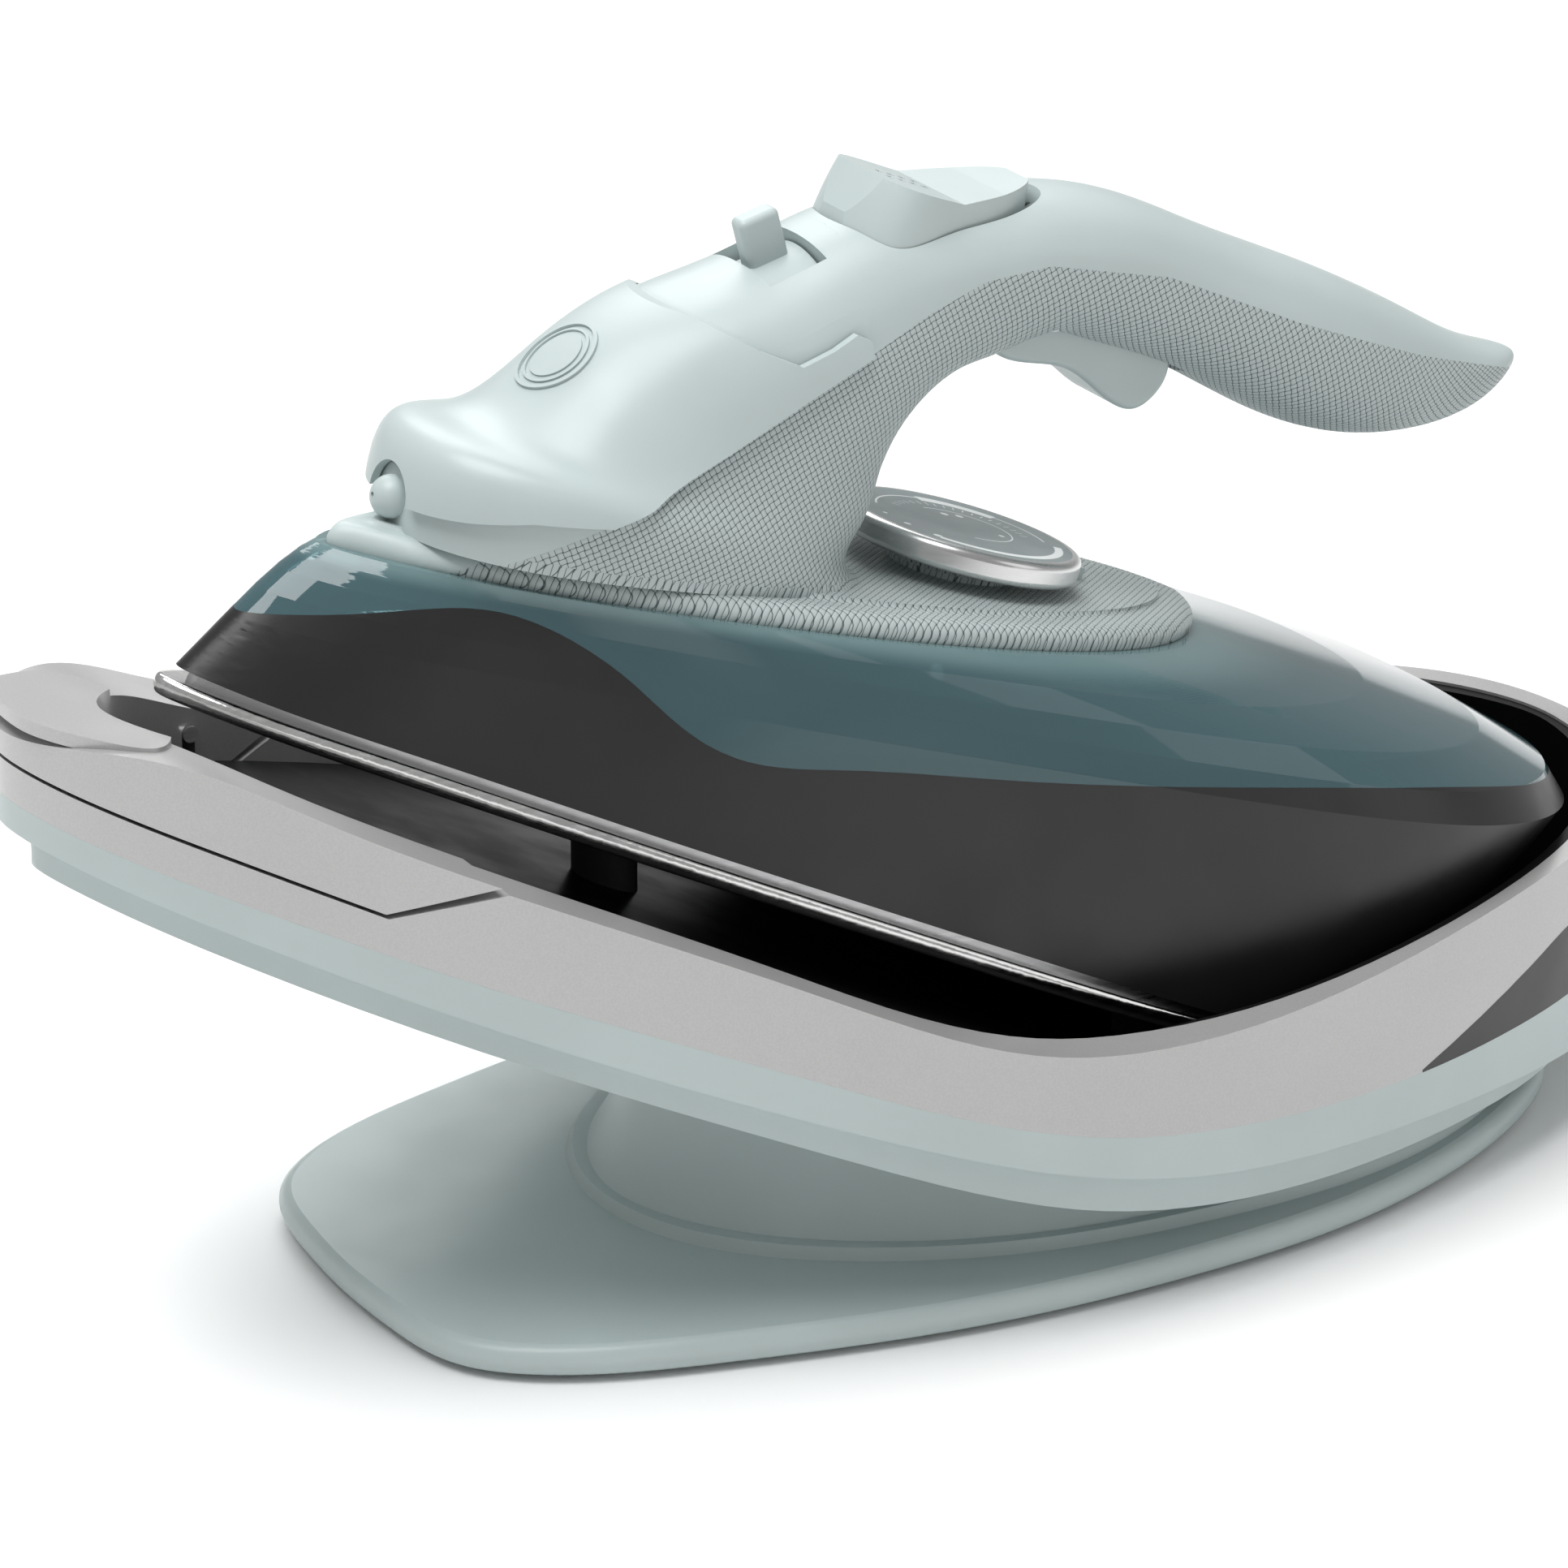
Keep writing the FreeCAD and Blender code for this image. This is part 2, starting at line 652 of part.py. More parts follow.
def column(half):
    return slab(half, tall0, tall1)


def between(low, high, form):
    return form.common(under_curve(high)).cut(under_curve(low))


lock_region = [(-210, 150), (-114, 150), (-114, 99.4), (-134.4, 94.9), (-172.8, 113.3), (-210, 131.0)]
lock_cut = [(-210, 150), (-111.5, 150), (-111.5, 98.2), (-134.0, 94.0), (-172.8, 112.6), (-210, 130.3)]
lock_pivot = Vector(-140.0, 0, 105.5)
pin_start, pin_end = 22.8, 36.0
panel_region = [(62, 20), (160, 20), (160, 57), (138, 53), (100, 44), (62, 31.5)]


def trim_band():
    return between(trim_low, rim_top, column(tray_half).cut(column(opening_half)))


def make_tray_trim():
    return trim_band().cut(side_prism(lock_cut)).cut(side_prism(panel_region))


def make_rear_panel():
    return trim_band().common(side_prism(panel_region))


def make_tray_shell():
    rim = between(shell_low, trim_low, column(tray_half))
    belly = between(belly_low, shell_low, column(inset(tray_half, belly_inset)))
    upper = column(inset(tray_half, shell_wall)).cut(under_curve(raised(shell_low, shell_wall)))
    lower = column(inset(tray_half, belly_inset + shell_wall)).cut(under_curve(raised(belly_low, shell_wall)))
    return rim.fuse(belly).cut(upper).cut(lower)


def make_tray_liner():
    ledge = raised(shell_low, shell_wall + running_gap)
    inner = belly_inset + shell_wall + running_gap
    below = under_curve(raised(floor_top, -floor_wall))
    outer = between(ledge, raised(rim_top, -0.6), column(opening_half)).cut(below).fuse(
        column(inset(tray_half, inner)).common(under_curve(raised(ledge, 1.0))).cut(below))
    pocket = column(inset(opening_half, liner_wall)).cut(under_curve(raised(ledge, liner_wall))).fuse(
        column(inset(tray_half, inner + liner_wall))).cut(under_curve(floor_top))
    return outer.cut(pocket).cut(lock_pin_bores())


def lock_pins():
    pins = []
    for side in (-1, 1):
        pins.append(rod(pin_radius, lock_pivot + Vector(0, side * pin_start, 0),
                        lock_pivot + Vector(0, side * pin_end, 0)))
    return pins


def lock_pin_bores():
    return Part.makeCompound(lock_pins())


def make_lock_lever():
    band = column(tray_half).cut(column(inset(opening_half, -moving_gap)))
    lever = between(trim_low, raised(rim_top, 0.8), band).common(side_prism(lock_region))
    flange = loft([plan_wire(nose_flange, lambda x: 121 - 0.28 * (x + 166)),
                   plan_wire(nose_flange, lambda x: 123.5 - 0.28 * (x + 166))])
    r = pin_radius + running_gap
    half = pin_end + seat_gap
    slot = across(r, lock_pivot.x, lock_pivot.z, half).fuse(
        across(r, lock_pivot.x, lock_pivot.z - lock_travel, half)).fuse(
        box(lock_pivot.x - r, lock_pivot.x + r, -half, half, lock_pivot.z - lock_travel, lock_pivot.z))
    return lever.fuse(flange.cut(column(inset(opening_half, -moving_gap)))).cut(slot)


nose_flange = [(-185, 0), (-184, 9), (-176, 17), (-166, 20), (-160, 14), (-158, 0)]


def sole_line(dz):
    slope = math.tan(math.radians(iron_pitch))
    return [(x, nose_z - slope * (x - nose_x) + dz) for x in (-187.0, -100.0, 0.0, 150.0)]


def make_rest_pads():
    pads = []
    for x, y in ((-70, 0), (30, -26), (30, 26)):
        post = Part.makeCylinder(6, 160, Vector(x, y, -5))
        pads.append(between(floor_top, sole_line(-seat_gap - 0.4), post))
    return Part.makeCompound(pads)


def make_connector():
    return box(80, 90, -13, 13, 10, 22.5).cut(under_curve(floor_top))


def make_connector_blades():
    return Part.makeCompound([box(82, 87, y - 0.8, y + 0.8, 22.5, 25.0) for y in (-8, 0, 8)])


def make_pedestal():
    skirt_wires = [plan_wire(pedestal_half, level(foot_top)),
                   plan_wire(inset(pedestal_half, pedestal_taper * 0.5), level(18)),
                   plan_wire(inset(pedestal_half, pedestal_taper * 0.9), level(32)),
                   plan_wire(inset(pedestal_half, pedestal_taper), level(60))]
    inner = inset(pedestal_half, pedestal_taper + 3.0)
    lip = loft([plan_wire(inset(pedestal_half, -2.0), level(foot_top)),
                plan_wire(inset(pedestal_half, -1.0), level(foot_top + 2.2))])
    tower = loft(skirt_wires).fuse(lip).common(under_curve(belly_low))
    hollow = slab(inner, foot_top, 90).common(under_curve(raised(belly_low, -2.5)))
    return tower.cut(hollow).cut(gland_rod(gland_radius, 1))


gland_inner = Vector(foot_half_length - 24.0, 0, foot_top - 0.4)
gland_length = 25.0


def gland_rod(radius, extra):
    step = Vector(extra, 0, 0)
    return rod(radius, gland_inner - step, gland_inner + Vector(gland_length, 0, 0) + step)


def make_cord_gland():
    return gland_rod(gland_radius, 0).cut(gland_rod(cord_radius, 1))


def make_foot_plate():
    plate = loft([plan_wire(inset(foot_half, 1.4), level(foot_lift)),
                  plan_wire(foot_half, level(foot_lift + 1.6)),
                  plan_wire(foot_half, level(foot_top - 1.6)),
                  plan_wire(inset(foot_half, 1.6), level(foot_top))])
    return plate.cut(slab(inset(foot_half, 5), foot_lift - 1, foot_top - 2.5)).cut(screw_shanks()).cut(
        gland_rod(gland_radius, 1))


screw_spots = [(-95, 0), (0, 52), (0, -52), (85, 0)]
rubber_spots = [(-102, 32), (-102, -32), (80, 40), (80, -40)]


def screw_shanks():
    return Part.makeCompound([Part.makeCylinder(screw_radius, screw_length, Vector(x, y, foot_lift + 1.0))
                              for x, y in screw_spots])


def make_foot_cover():
    cover = slab(inset(foot_half, 5), foot_lift, foot_lift + 1.8)
    posts = Part.makeCompound([Part.makeCylinder(4, foot_top - 2.5 - foot_lift, Vector(x, y, foot_lift))
                               for x, y in screw_spots])
    heads = Part.makeCompound([Part.makeCylinder(screw_head_radius, 1.2, Vector(x, y, foot_lift))
                               for x, y in screw_spots])
    seats = Part.makeCompound([Part.makeCylinder(7.5, 0.8, Vector(x, y, foot_lift)) for x, y in rubber_spots])
    return cover.fuse(posts).cut(heads).cut(screw_shanks()).cut(seats)


def make_base_screws():
    screws = []
    for x, y in screw_spots:
        head = Part.makeCylinder(screw_head_radius, 1.2, Vector(x, y, foot_lift))
        shank = Part.makeCylinder(screw_radius, screw_length, Vector(x, y, foot_lift + 1.0))
        screws.append(head.fuse(shank))
    return Part.makeCompound(screws)


def make_rubber_feet():
    return Part.makeCompound([Part.makeCylinder(7.5, foot_lift + 0.8, Vector(x, y, 0)) for x, y in rubber_spots])


# ---- build and export ----
iron_nodes = [
    ("soleplate", make_soleplate), ("heater_casting", make_heater),
    ("heating_element", make_heating_element), ("chamber_cover", make_chamber_cover),
    ("heat_shield", make_heat_shield), ("thermostat", make_thermostat),
    ("thermal_fuse", make_thermal_fuse), ("skirt", make_skirt), ("contact_block", make_contact_block),
    ("water_tank", make_tank), ("tank_seal", make_tank_seal), ("grip", make_grip),
    ("handle_cover", make_handle_cover), ("lever_housing", make_lever_housing),
    ("filler_lid", make_filler_lid), ("spray_nozzle", make_spray_nozzle), ("steam_lever", make_steam_lever),
    ("lever_pin", make_lever_pin), ("spray_button", make_spray_button),
    ("button_spring", make_button_spring), ("trigger", make_trigger), ("trigger_pin", make_trigger_pin),
    ("dial_ring", make_dial_ring), ("dial_face", make_dial_face), ("dial_shaft", make_dial_shaft),
    ("dial_marker", make_dial_marker), ("pump_body", make_pump_body), ("spray_hose", make_spray_hose),
    ("valve_body", make_valve_body), ("valve_seat", make_valve_seat),
]
base_nodes = [
    ("tray_shell", make_tray_shell), ("tray_trim", make_tray_trim), ("rear_panel", make_rear_panel),
    ("tray_liner", make_tray_liner), ("lock_lever", make_lock_lever),
    ("lock_pins", lock_pin_bores), ("rest_pads", make_rest_pads), ("connector", make_connector),
    ("connector_blades", make_connector_blades), ("pedestal", make_pedestal),
    ("cord_gland", make_cord_gland), ("foot_plate", make_foot_plate), ("foot_cover", make_foot_cover),
    ("base_screws", make_base_screws), ("rubber_feet", make_rubber_feet),
]
for name, make in iron_nodes:
    save(name, make(), True)
for name, make in base_nodes:
    save(name, make())
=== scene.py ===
import bpy
import math
from mathutils import Matrix, Vector


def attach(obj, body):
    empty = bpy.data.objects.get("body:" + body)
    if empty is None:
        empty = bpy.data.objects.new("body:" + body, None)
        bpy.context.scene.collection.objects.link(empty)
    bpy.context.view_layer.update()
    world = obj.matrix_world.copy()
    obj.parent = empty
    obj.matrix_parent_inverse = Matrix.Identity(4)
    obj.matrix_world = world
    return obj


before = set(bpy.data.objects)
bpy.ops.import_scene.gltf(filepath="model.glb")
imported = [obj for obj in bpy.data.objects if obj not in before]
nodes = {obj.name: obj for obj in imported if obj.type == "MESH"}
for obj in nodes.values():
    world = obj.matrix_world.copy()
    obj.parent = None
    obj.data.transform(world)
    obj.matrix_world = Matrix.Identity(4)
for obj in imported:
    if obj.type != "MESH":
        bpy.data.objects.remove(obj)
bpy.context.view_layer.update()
print("frame loaded:", len(nodes), "nodes")

# how the iron rests on its tray
ironSeat = {"pitch": math.radians(25.0), "tip": Vector((-0.138, 0.0, 0.125))}
ironTurn = Matrix.Rotation(ironSeat["pitch"], 4, "Y")
ironPlace = Matrix.Translation(ironSeat["tip"]) @ ironTurn
ironMapShift = -(ironTurn.inverted() @ ironSeat["tip"]) * 1000


def inIron(x, y, z):  # millimetres along, across and above the sole
    return ironPlace @ (Vector((x, y, z)) / 1000)


# shader helpers
def newMaterial(name, colour, roughness, metallic=0.0):
    material = bpy.data.materials.new(name)
    material.use_nodes = True
    shader = material.node_tree.nodes["Principled BSDF"]
    shader.inputs["Base Color"].default_value = (*colour, 1.0)
    shader.inputs["Roughness"].default_value = roughness
    shader.inputs["Metallic"].default_value = metallic
    material.diffuse_color = (*colour, 1.0)
    return material, material.node_tree, shader


def addNode(tree, kind, **settings):
    node = tree.nodes.new(kind)
    for key, value in settings.items():
        setattr(node, key, value)
    return node


def plug(tree, socket, value):
    if isinstance(value, bpy.types.NodeSocket):
        tree.links.new(value, socket)
    elif value is not None:
        socket.default_value = value


def calc(tree, operation, a, b=None, c=None, clamp=False):
    node = addNode(tree, "ShaderNodeMath", operation=operation, use_clamp=clamp)
    for socket, value in zip(node.inputs, (a, b, c)):
        plug(tree, socket, value)
    return node.outputs[0]


def span(tree, a, b):  # length of the two together
    return calc(tree, "SQRT", calc(tree, "ADD", calc(tree, "MULTIPLY", a, a), calc(tree, "MULTIPLY", b, b)))


def spread(tree, value, low, high, outLow=0.0, outHigh=1.0):
    node = addNode(tree, "ShaderNodeMapRange", interpolation_type="SMOOTHSTEP")
    for socket, given in zip(node.inputs, (value, low, high, outLow, outHigh)):
        plug(tree, socket, given)
    return node.outputs[0]


toMillimetres = (1000.0, 1000.0, 1000.0)


def placeCoords(tree, scale=(1.0, 1.0, 1.0), turn=(0.0, 0.0, 0.0), shift=(0.0, 0.0, 0.0)):
    coords = addNode(tree, "ShaderNodeTexCoord")
    mapping = addNode(tree, "ShaderNodeMapping")
    mapping.inputs["Scale"].default_value = scale
    mapping.inputs["Rotation"].default_value = turn
    mapping.inputs["Location"].default_value = shift
    tree.links.new(coords.outputs["Object"], mapping.inputs["Vector"])
    return mapping.outputs["Vector"]


def parted(tree, vector):
    split = addNode(tree, "ShaderNodeSeparateXYZ")
    tree.links.new(vector, split.inputs[0])
    return split.outputs["X"], split.outputs["Y"], split.outputs["Z"]


def ironCoords(tree):
    return placeCoords(tree, toMillimetres, (0.0, -ironSeat["pitch"], 0.0), tuple(ironMapShift))


def noise(tree, scale, detail=3.0, vector=None):
    node = addNode(tree, "ShaderNodeTexNoise")
    node.inputs["Scale"].default_value = scale
    node.inputs["Detail"].default_value = detail
    tree.links.new(vector or placeCoords(tree), node.inputs["Vector"])
    return node.outputs["Fac"]


def tint(tree, shader, factor, dark, light):
    mix = addNode(tree, "ShaderNodeMix", data_type="RGBA")
    plug(tree, mix.inputs[0], factor)
    plug(tree, mix.inputs[6], dark if isinstance(dark, bpy.types.NodeSocket) else (*dark, 1.0))
    plug(tree, mix.inputs[7], light if isinstance(light, bpy.types.NodeSocket) else (*light, 1.0))
    if shader:
        tree.links.new(mix.outputs[2], shader.inputs["Base Color"])
    return mix.outputs[2]


def bump(tree, shader, height, strength, distance, below=None):
    node = addNode(tree, "ShaderNodeBump")
    node.inputs["Strength"].default_value = strength
    node.inputs["Distance"].default_value = distance
    tree.links.new(height, node.inputs["Height"])
    if below:
        tree.links.new(below, node.inputs["Normal"])
    if shader:
        tree.links.new(node.outputs[0], shader.inputs["Normal"])
    return node.outputs[0]


def wornRoughness(tree, shader, low, high, scale):  # handling marks show as slow changes of gloss
    tree.links.new(spread(tree, noise(tree, scale, 4.0), 0.3, 0.7, low, high), shader.inputs["Roughness"])


# finishes, each a detailed procedural material
def mouldedPlastic(name, look):
    material, tree, shader = newMaterial(name, look["colour"], look["gloss"][0])
    cloud = noise(tree, 26.0, 3.0)
    dark = tuple(c * 0.955 for c in look["colour"])
    tint(tree, shader, spread(tree, cloud, 0.35, 0.65), dark, look["colour"])
    wornRoughness(tree, shader, *look["gloss"], 60.0)
    grain = bump(tree, None, noise(tree, look["grain"], 2.0), look["relief"], 0.00006)
    bump(tree, shader, noise(tree, 130.0, 2.0), 0.04, 0.0002, grain)
    shader.inputs["Specular IOR Level"].default_value = look.get("shine", 0.5)
    if look.get("coat"):
        shader.inputs["Coat Weight"].default_value = look["coat"]
        shader.inputs["Coat Roughness"].default_value = 0.08
    return material


def wovenPlastic(name, look):
    material, tree, shader = newMaterial(name, look["light"], 0.55)
    x, y, z = parted(tree, ironCoords(tree))
    width = calc(tree, "ABSOLUTE", y)
    rise = calc(tree, "SUBTRACT", z, spread(tree, x, 218.0, 252.0, 121.0, 130.0))
    around = calc(tree, "MULTIPLY", calc(tree, "ARCTAN2", rise, width), look["gripRadius"])
    onGrip = spread(tree, x, 124.0, 146.0)
    v = calc(tree, "ADD", calc(tree, "MULTIPLY", rise, calc(tree, "SUBTRACT", 1.0, onGrip)),
             calc(tree, "MULTIPLY", around, onGrip))
    shelfTop = calc(tree, "MULTIPLY_ADD", x, 0.183, 35.4)  # the shelf follows the tank's ring
    onShelf = calc(tree, "LESS_THAN", z, shelfTop)
    v = calc(tree, "ADD", calc(tree, "MULTIPLY", v, calc(tree, "SUBTRACT", 1.0, onShelf)),
             calc(tree, "MULTIPLY", width, onShelf))
    a = calc(tree, "DIVIDE", calc(tree, "ADD", x, v), look["pitch"])
    b = calc(tree, "DIVIDE", calc(tree, "SUBTRACT", x, v), look["pitch"])
    even = calc(tree, "PINGPONG", calc(tree, "ADD", calc(tree, "FLOOR", a), calc(tree, "FLOOR", b)), 1.0)

    def thread(t, power):  # one rounded strand, high in the middle
        off = calc(tree, "ABSOLUTE", calc(tree, "MULTIPLY_ADD", calc(tree, "FRACT", t), 2.0, -1.0))
        return calc(tree, "SUBTRACT", 1.0, calc(tree, "POWER", off, power))

    over = calc(tree, "MULTIPLY", thread(a, 3.0), calc(tree, "MULTIPLY_ADD", thread(b, 5.0), 0.35, 0.65))
    under = calc(tree, "MULTIPLY", thread(b, 3.0), calc(tree, "MULTIPLY_ADD", thread(a, 5.0), 0.35, 0.65))
    height = calc(tree, "ADD", calc(tree, "MULTIPLY", over, even),
                  calc(tree, "MULTIPLY", under, calc(tree, "SUBTRACT", 1.0, even)))
    beside = calc(tree, "SUBTRACT", z, x)  # smooth plastic beside the lever housing
    smooth = calc(tree, "MULTIPLY", spread(tree, beside, -2.7, -2.1), spread(tree, x, 99.2, 99.9, 1.0, 0.0))
    # painted shade: the low parts of the strands are tinted near black, standing in for the shade in the
    # weave's grooves
    weaveWithGrooveShade = tint(tree, None, spread(tree, height, 0.2, 0.66), look["dark"], look["light"])
    tint(tree, shader, smooth, weaveWithGrooveShade, look["plain"])
    wornRoughness(tree, shader, 0.42, 0.6, 45.0)
    bump(tree, shader, calc(tree, "MAXIMUM", height, smooth), 0.7, look["depth"])
    return material


def tankPlastic(name, look):
    material, tree, shader = newMaterial(name, look["colour"], look["gloss"])
    shader.inputs["Transmission Weight"].default_value = look["clear"]
    shader.inputs["IOR"].default_value = 1.49
    x, y, z = parted(tree, ironCoords(tree))
    rim = calc(tree, "SUBTRACT", z, calc(tree, "MULTIPLY_ADD", x, 0.183, 29.3))
    pale = calc(tree, "MULTIPLY", spread(tree, rim, -3.4, 0.2), 0.55)
    deep = spread(tree, noise(tree, 9.0, 2.0), 0.3, 0.7)
    body = tint(tree, None, deep, tuple(c * 0.94 for c in look["colour"]), look["colour"])
    tint(tree, shader, pale, body, look["edge"])
    wornRoughness(tree, shader, look["gloss"], look["gloss"] * 2.4, 40.0)
    bump(tree, shader, noise(tree, 22.0, 2.0), 0.05, 0.0006)
    return material


def satinMetal(name, look):
    material, tree, shader = newMaterial(name, look["colour"], look["gloss"][0], 1.0)
    streaks = noise(tree, 1.0, 4.0, placeCoords(tree, look["lay"]))
    dark = tuple(c * 0.86 for c in look["colour"])
    tint(tree, shader, spread(tree, streaks, 0.3, 0.7), dark, look["colour"])
    tree.links.new(spread(tree, streaks, 0.25, 0.75, *look["gloss"]), shader.inputs["Roughness"])
    bump(tree, shader, streaks, look["relief"], 0.00008)
    return material


def silverPaint(name, look):
    material, tree, shader = newMaterial(name, look["colour"], 0.34, look["metal"])
    flakes = noise(tree, 2600.0, 1.0)
    dark = tuple(c * 0.94 for c in look["colour"])
    tint(tree, shader, spread(tree, flakes, 0.35, 0.65), dark, look["colour"])
    wornRoughness(tree, shader, 0.28, 0.38, 34.0)
    bump(tree, shader, flakes, 0.05, 0.00005)
    shader.inputs["Coat Weight"].default_value = 0.25
    shader.inputs["Coat Roughness"].default_value = 0.2
    return material


dialPlace = {"seat": (146.3, 0.0, 69.2), "tilt": math.radians(7.0)}


def printedDial(name, look):  # a grey disc with pale scale arcs, ticks and heat dots
    material, tree, shader = newMaterial(name, look["ground"], 0.35)
    turn = Matrix.Rotation(ironSeat["pitch"] - dialPlace["tilt"], 4, "Y")
    centre = turn.inverted() @ inIron(*dialPlace["seat"]) * 1000
    leanBack = (0.0, -(ironSeat["pitch"] - dialPlace["tilt"]), 0.0)
    vector = placeCoords(tree, toMillimetres, leanBack, tuple(-centre))
    x, y, z = parted(tree, vector)
    radius = span(tree, x, y)
    angle = calc(tree, "DIVIDE", calc(tree, "ARCTAN2", y, x), math.pi)

    def band(value, low, high, soft):
        return calc(tree, "MULTIPLY", spread(tree, value, low - soft, low + soft),
                    spread(tree, value, high - soft, high + soft, 1.0, 0.0))

    marks = None
    for inner, outer, start, end in look["arcs"]:
        mark = calc(tree, "MULTIPLY", band(radius, inner, outer, 0.08), band(angle, start, end, 0.004))
        marks = mark if marks is None else calc(tree, "MAXIMUM", marks, mark)
    turns = calc(tree, "FRACT", calc(tree, "MULTIPLY", angle, look["ticks"]))
    spokes = calc(tree, "ABSOLUTE", calc(tree, "MULTIPLY_ADD", turns, 2.0, -1.0))
    ticks = calc(tree, "MULTIPLY", band(radius, 12.0, 13.6, 0.08), spread(tree, spokes, 0.84, 0.9))
    ticks = calc(tree, "MULTIPLY", ticks, band(angle, -0.05, 0.8, 0.004))
    marks = calc(tree, "MAXIMUM", marks, ticks)
    for along, across, size in look["dots"]:
        dx, dy = calc(tree, "SUBTRACT", x, along), calc(tree, "SUBTRACT", y, across)
        dot = spread(tree, span(tree, dx, dy), size - 0.1, size + 0.1, 1.0, 0.0)
        marks = calc(tree, "MAXIMUM", marks, dot)
    dark = tuple(c * 0.93 for c in look["ground"])
    ground = tint(tree, None, spread(tree, noise(tree, 70.0, 3.0), 0.3, 0.7), dark, look["ground"])
    tint(tree, shader, marks, ground, look["ink"])
    wornRoughness(tree, shader, 0.3, 0.42, 80.0)
    bump(tree, shader, marks, 0.25, 0.00005)
    return material


finishes = {
    "pale": mouldedPlastic("palePlastic", {
        "colour": (0.47, 0.545, 0.54), "gloss": (0.33, 0.43), "grain": 1500.0, "relief": 0.12}),
    # the woven grip's dark colour is painted shade in the grooves of the weave, not a second plastic colour
    "woven": wovenPlastic("wovenGrip", {
        "light": (0.46, 0.52, 0.515), "plain": (0.47, 0.545, 0.54), "dark": (0.06, 0.085, 0.09),
        "pitch": 1.6, "depth": 0.00024, "gripRadius": 16.0}),
    "tank": tankPlastic("tankTeal", {
        "colour": (0.105, 0.205, 0.23), "edge": (0.42, 0.62, 0.63), "gloss": 0.03, "clear": 0.5}),
    "black": mouldedPlastic("blackSatin", {
        "colour": (0.014, 0.014, 0.0145), "gloss": (0.28, 0.38), "grain": 2200.0, "relief": 0.1}),
    "liner": mouldedPlastic("blackGloss", {
        "colour": (0.006, 0.006, 0.0065), "gloss": (0.3, 0.42), "grain": 900.0, "relief": 0.03,
        "shine": 0.12}),
    "silver": silverPaint("silverPaint", {"colour": (0.47, 0.47, 0.468), "metal": 0.3}),
    "ring": satinMetal("dialRing", {
        "colour": (0.72, 0.725, 0.72), "gloss": (0.2, 0.32), "lay": (26.0, 26.0, 400.0), "relief": 0.03}),
    "dial": printedDial("dialPrint", {
        "ground": (0.25, 0.3, 0.305), "ink": (0.86, 0.9, 0.9), "ticks": 22.0,
        "arcs": [(17.6, 19.2, -0.75, -0.12), (16.2, 16.6, -0.08, 0.86), (14.6, 17.4, 0.2, 0.5),
                 (9.4, 9.7, -0.6, 0.6)],
        "dots": [(-13.0, -12.0, 0.9), (-16.0, -6.0, 0.7), (-17.2, 0.0, 0.5), (6.0, -4.5, 0.6),
                 (0.0, 6.4, 0.8), (3.4, 6.4, 0.8)]}),
    "sole": satinMetal("polishedSole", {
        "colour": (0.80, 0.80, 0.79), "gloss": (0.1, 0.22), "lay": (30.0, 900.0, 900.0), "relief": 0.05}),
    "alloy": satinMetal("castAlloy", {
        "colour": (0.48, 0.48, 0.49), "gloss": (0.42, 0.6), "lay": (420.0, 420.0, 420.0), "relief": 0.4}),
    "steel": satinMetal("plainSteel", {
        "colour": (0.58, 0.58, 0.59), "gloss": (0.25, 0.4), "lay": (60.0, 60.0, 1200.0), "relief": 0.08}),
    "brass": satinMetal("plainBrass", {
        "colour": (0.74, 0.56, 0.25), "gloss": (0.25, 0.38), "lay": (80.0, 80.0, 900.0), "relief": 0.08}),
    "rubber": mouldedPlastic("blackRubber", {
        "colour": (0.03, 0.03, 0.031), "gloss": (0.6, 0.75), "grain": 1800.0, "relief": 0.3}),
    "whiteInk": mouldedPlastic("whiteInk", {
        "colour": (0.82, 0.83, 0.83), "gloss": (0.4, 0.5), "grain": 900.0, "relief": 0.05}),
    "hose": mouldedPlastic("clearHose", {
        "colour": (0.66, 0.68, 0.67), "gloss": (0.3, 0.4), "grain": 1400.0, "relief": 0.08}),
}
finishOf = {
    "soleplate": "sole", "heater_casting": "alloy", "heating_element": "steel", "chamber_cover": "alloy",
    "heat_shield": "steel", "thermostat": "brass", "thermal_fuse": "steel", "skirt": "black",
    "contact_block": "liner", "water_tank": "tank", "tank_seal": "hose", "grip": "woven",
    "handle_cover": "pale", "lever_housing": "pale", "filler_lid": "pale", "spray_nozzle": "pale",
    "steam_lever": "pale", "lever_pin": "steel", "spray_button": "pale", "button_spring": "steel",
    "trigger": "pale", "trigger_pin": "steel", "dial_ring": "ring", "dial_face": "dial",
    "dial_shaft": "steel", "dial_marker": "pale", "pump_body": "pale", "spray_hose": "hose",
    "valve_body": "brass", "valve_seat": "brass", "tray_shell": "pale", "tray_trim": "silver",
    "rear_panel": "black", "tray_liner": "liner", "lock_lever": "silver", "lock_pins": "steel",
    "rest_pads": "rubber", "connector": "black", "connector_blades": "brass", "pedestal": "pale",
    "cord_gland": "rubber", "foot_plate": "pale", "foot_cover": "black", "base_screws": "steel",
    "rubber_feet": "rubber"}
for name, node in nodes.items():
    node.data.materials.clear()
    node.data.materials.append(finishes[finishOf[name]])
print("finishes assigned")

def deselectAll():
    if bpy.context.object and bpy.context.object.mode != "OBJECT":
        bpy.ops.object.mode_set(mode="OBJECT")
    bpy.ops.object.select_all(action="DESELECT")


def finishPiece(piece, body, finish):
    deselectAll()
    piece.select_set(True)
    bpy.context.view_layer.objects.active = piece
    bpy.ops.object.transform_apply(location=True, rotation=True, scale=True)
    bpy.ops.object.mode_set(mode="EDIT")
    bpy.ops.mesh.select_all(action="SELECT")
    bpy.ops.mesh.normals_make_consistent(inside=False)
    bpy.ops.object.mode_set(mode="OBJECT")
    bpy.ops.object.shade_smooth_by_angle(angle=math.radians(35.0))
    piece.data.materials.clear()
    piece.data.materials.append(finishes[finish])
    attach(piece, body)
    return piece


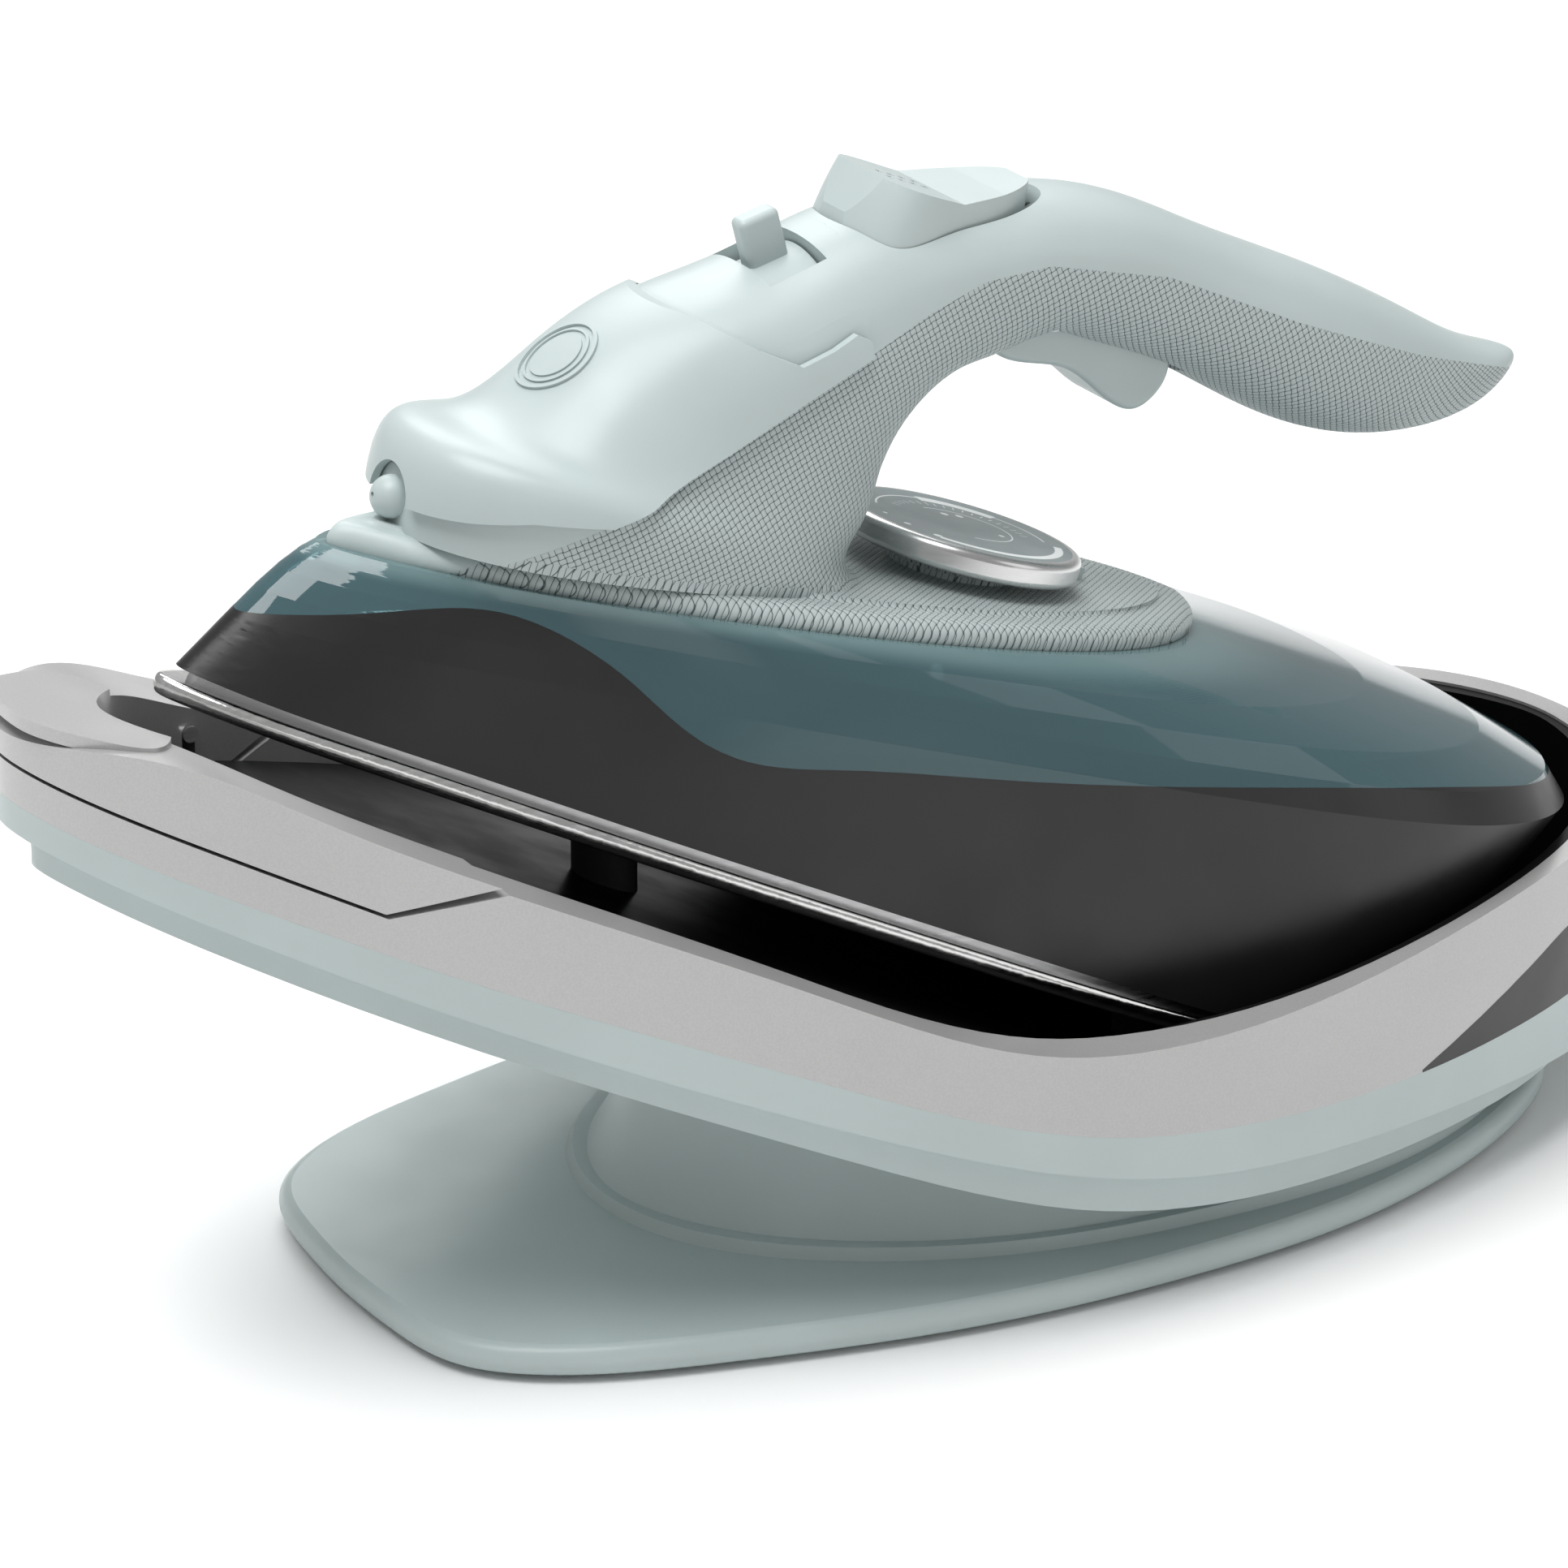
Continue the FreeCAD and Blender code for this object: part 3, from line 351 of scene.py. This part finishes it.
# drapes a flat piece over a part along its own normal, then gives it depth
def layOn(piece, node, thickness):
    wrap = piece.modifiers.new("lay", "SHRINKWRAP")
    wrap.wrap_method, wrap.target = "PROJECT", nodes[node]
    wrap.use_project_z, wrap.use_negative_direction, wrap.use_positive_direction = True, True, True
    wrap.offset = 0.00005
    bpy.ops.object.modifier_apply(modifier=wrap.name)
    solid = piece.modifiers.new("depth", "SOLIDIFY")
    solid.thickness, solid.offset = thickness, 1.0
    bpy.ops.object.modifier_apply(modifier=solid.name)


def makeDisc(name, look):  # a round mark or badge in even rings, so that it follows the surface
    deselectAll()
    normal = (ironTurn.to_3x3() @ Vector(look["normal"])).normalized()
    facing = normal.to_track_quat("Z", "Y").to_euler()
    bpy.ops.mesh.primitive_circle_add(vertices=48, radius=look["radius"], fill_type="TRIFAN",
                                      location=inIron(*look["centre"]), rotation=facing)
    piece = bpy.context.object
    piece.name = name
    bpy.ops.object.mode_set(mode="EDIT")
    bpy.ops.mesh.select_all(action="SELECT")
    bpy.ops.mesh.subdivide(number_cuts=5)
    bpy.ops.object.mode_set(mode="OBJECT")
    layOn(piece, look["on"], look["thickness"])
    return finishPiece(piece, look["body"], look["finish"])


def makeRing(name, look):
    deselectAll()
    normal = (ironTurn.to_3x3() @ Vector(look["normal"])).normalized()
    facing = normal.to_track_quat("Z", "Y").to_euler()
    bpy.ops.mesh.primitive_circle_add(vertices=64, radius=look["radius"], fill_type="NOTHING",
                                      location=inIron(*look["centre"]), rotation=facing)
    piece = bpy.context.object
    piece.name = name
    bpy.ops.object.mode_set(mode="EDIT")
    bpy.ops.mesh.select_all(action="SELECT")
    bpy.ops.mesh.extrude_edges_move()
    inner = (look["radius"] - look["band"]) / look["radius"]
    bpy.ops.transform.resize(value=(inner, inner, inner), center_override=inIron(*look["centre"]))
    bpy.ops.object.mode_set(mode="OBJECT")
    layOn(piece, look["on"], look["thickness"])
    return finishPiece(piece, look["body"], look["finish"])


badge = {"centre": (51.0, 0.0, 76.5), "normal": (-0.85, 0.0, 0.52), "on": "filler_lid", "body": "lid",
         "finish": "pale", "slot": "pale_plastic"}
makeRing("lidBadgeRim", {**badge, "radius": 0.0082, "band": 0.0007, "thickness": 0.0005})
makeDisc("lidBadgeDisc", {**badge, "radius": 0.0052, "thickness": 0.0003})
makeRing("lidBadgeRing", {**badge, "radius": 0.0066, "band": 0.0005, "thickness": 0.00035})
fillMark = {"centre": (124.6, -38.5, 47.6), "normal": (0.0, -0.85, 0.52), "on": "water_tank", "body": "iron",
            "radius": 0.0013, "thickness": 0.00012, "finish": "whiteInk", "slot": "pale_plastic"}
makeDisc("fillMark", fillMark)
print("badge and marks laid on")


# studio and camera
studio = {"floor": 6.0, "wall": 0.97, "world": 0.38,
          "lights": [("keyLight", (-0.45, -0.1, 1.7), 1.3, 28.0), ("fillLight", (1.2, -1.3, 0.8), 1.3, 3.0),
                     ("backLight", (0.5, 1.3, 1.3), 1.2, 12.0)]}


def makeStudio():
    deselectAll()
    bpy.ops.mesh.primitive_plane_add(size=studio["floor"], location=(0.0, 0.0, 0.0))
    floor = bpy.context.object
    floor.name = "studioFloor"
    material, tree, shader = newMaterial("studioPaper", (studio["wall"],) * 3, 0.7)
    bump(tree, shader, noise(tree, 300.0, 2.0), 0.02, 0.0002)
    floor.data.materials.append(material)
    world = bpy.data.worlds.new("studioWorld")
    world.use_nodes = True
    world.node_tree.nodes["Background"].inputs["Color"].default_value = (1.0, 1.0, 1.0, 1.0)
    world.node_tree.nodes["Background"].inputs["Strength"].default_value = studio["world"]
    bpy.context.scene.world = world
    target = Vector((0.0, 0.0, 0.1))
    for name, place, size, power in studio["lights"]:
        data = bpy.data.lights.new(name, "AREA")
        data.shape, data.size, data.energy = "DISK", size, power
        lamp = bpy.data.objects.new(name, data)
        bpy.context.scene.collection.objects.link(lamp)
        lamp.location = place
        lamp.rotation_euler = (target - lamp.location).to_track_quat("-Z", "Y").to_euler()


def makeCamera():
    view = {"place": (-0.5344, -0.9163, 0.5231), "look": (0.4558, 0.8020, -0.3859), "lens": 143.5}
    data = bpy.data.cameras.new("viewCamera")
    data.lens, data.sensor_width, data.clip_end = view["lens"], 36.0, 20.0
    camera = bpy.data.objects.new("viewCamera", data)
    bpy.context.scene.collection.objects.link(camera)
    camera.location = view["place"]
    camera.rotation_euler = Vector(view["look"]).to_track_quat("-Z", "Y").to_euler()
    bpy.context.scene.camera = camera


makeStudio()
makeCamera()
bpy.context.scene.view_settings.view_transform = "Standard"
print("studio and camera ready")
